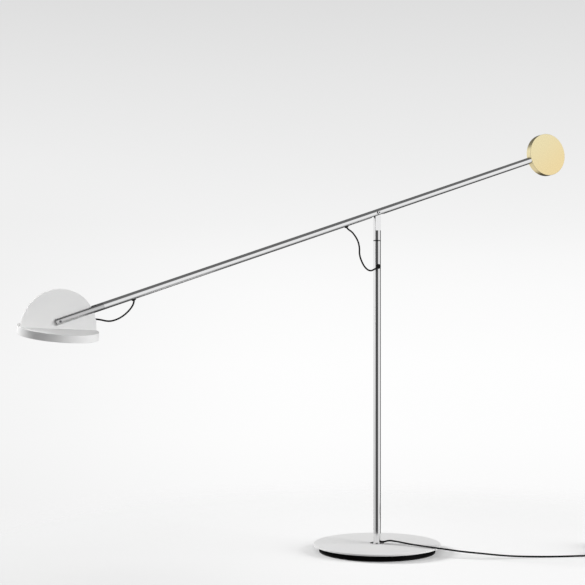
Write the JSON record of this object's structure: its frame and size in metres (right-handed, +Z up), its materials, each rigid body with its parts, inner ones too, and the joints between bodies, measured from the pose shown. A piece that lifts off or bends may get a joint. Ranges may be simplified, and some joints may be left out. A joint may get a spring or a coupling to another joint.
{
  "type": "counterweight balance desk lamp",
  "caption": "Desk lamp with a long balance arm on a thin stem, a half-round finned disc head, a brass counterweight disc and a round weighted base.",
  "frame": {"origin": "centre of the pad's underside, on the floor under the stem's axis", "axes": "+Z up along the stem; +X level along the arm towards the counterweight; +Y to the lamp's far side, away from the pivot screw's head"},
  "size_m": [1.1426, 0.3774, 0.81],
  "materials": {
    "pad_rubber": "matte",
    "black_enamel": "satin",
    "white_enamel": "matte",
    "white_alloy": "matte",
    "zinc_steel": "satin",
    "turned_steel": "satin",
    "polished_steel": "polished",
    "polished_aluminium": "satin",
    "brushed_brass": "satin",
    "black_nylon": "satin",
    "white_nylon": "satin",
    "black_rubber": "matte",
    "cord_sheath": "satin",
    "black_moulding": "satin",
    "circuit_board": "satin",
    "plated_brass": "satin",
    "board_alloy": "satin",
    "emitter": "gloss",
    "white_moulding": "satin",
    "opal": "satin"
  },
  "bodies": {
    "base": {"base_pad": "pad_rubber", "base_ballast": "black_enamel", "base_plate": "white_enamel", "ballast_screws": "zinc_steel", "stem_bolt": "zinc_steel", "bolt_washer": "zinc_steel", "foot_washer": "polished_steel", "stem_plug": "turned_steel", "stem_tube": "polished_steel", "foot_gland": "black_nylon", "stem_grommet": "black_rubber", "stem_lead": "cord_sheath", "swivel_bush": "black_nylon", "elbow_lead_lower": "cord_sheath", "supply_cord": "cord_sheath", "cord_coil": "cord_sheath", "cord_tie": "black_nylon", "adapter_case": "black_moulding", "adapter_lid": "black_moulding", "adapter_board": "circuit_board", "adapter_pins": "plated_brass", "adapter_relief": "black_rubber"},
    "swivel": {"swivel_head": "polished_steel", "swivel_washer": "white_nylon", "swivel_spring": "zinc_steel", "swivel_nut": "turned_steel"},
    "arm": {"arm_tube": "polished_aluminium", "pivot_saddles": "turned_steel", "pivot_bolt": "turned_steel", "pivot_nut": "turned_steel", "pivot_shims": "white_nylon", "elbow_collar": "black_rubber", "head_collar": "black_rubber", "arm_lead": "cord_sheath", "arm_end_plug": "turned_steel", "fork_pin": "turned_steel", "counterweight": "brushed_brass", "counterweight_stud": "zinc_steel", "elbow_lead_upper": "cord_sheath"},
    "fork": {"head_fork": "polished_aluminium", "fork_o_ring": "black_rubber", "head_pivot_screw": "turned_steel", "fin_washers": "white_nylon", "head_lead_upper": "cord_sheath"},
    "head": {"fin": "white_enamel", "lamp_housing": "white_alloy", "fin_screws": "zinc_steel", "led_board": "board_alloy", "leds": "emitter", "reflector_ring": "white_moulding", "diffuser": "opal", "bezel_ring": "white_alloy", "fin_lead": "cord_sheath", "dimmer_switch": "black_moulding", "head_lead_lower": "cord_sheath"},
    "button": {"dimmer_button": "white_moulding"}
  },
  "joints": [
    {"name": "arm_swivel", "type": "hinge", "parent": "base", "child": "swivel", "pos_m": [0, 0, 0.587], "axis": [0, 0, 1], "range_deg": [-120, 120], "deforming": ["elbow_lead_lower"]},
    {"name": "arm_tilt", "type": "hinge", "parent": "swivel", "child": "arm", "pos_m": [0, 0, 0.6412], "axis": [0, 1, 0], "range_deg": [-22, 42], "deforming": ["elbow_lead_upper"]},
    {"name": "head_roll", "type": "hinge", "parent": "arm", "child": "fork", "pos_m": [-0.62552, 0, 0.44157], "axis": [0.9527, 0, 0.304], "range_deg": [-65, 50], "deforming": ["head_lead_upper"]},
    {"name": "head_tilt", "type": "hinge", "parent": "fork", "child": "head", "pos_m": [-0.62552, 0, 0.44157], "axis": [-0.0455, 0.9888, 0.1425], "range_deg": [-8, 45], "deforming": ["head_lead_lower"]},
    {"name": "dimmer_press", "type": "slide", "parent": "head", "child": "button", "axis": [-0.0538, 0.14, -0.9887], "range_m": [0, 0.0006], "stiffness_N_per_m": 800}
  ]
}
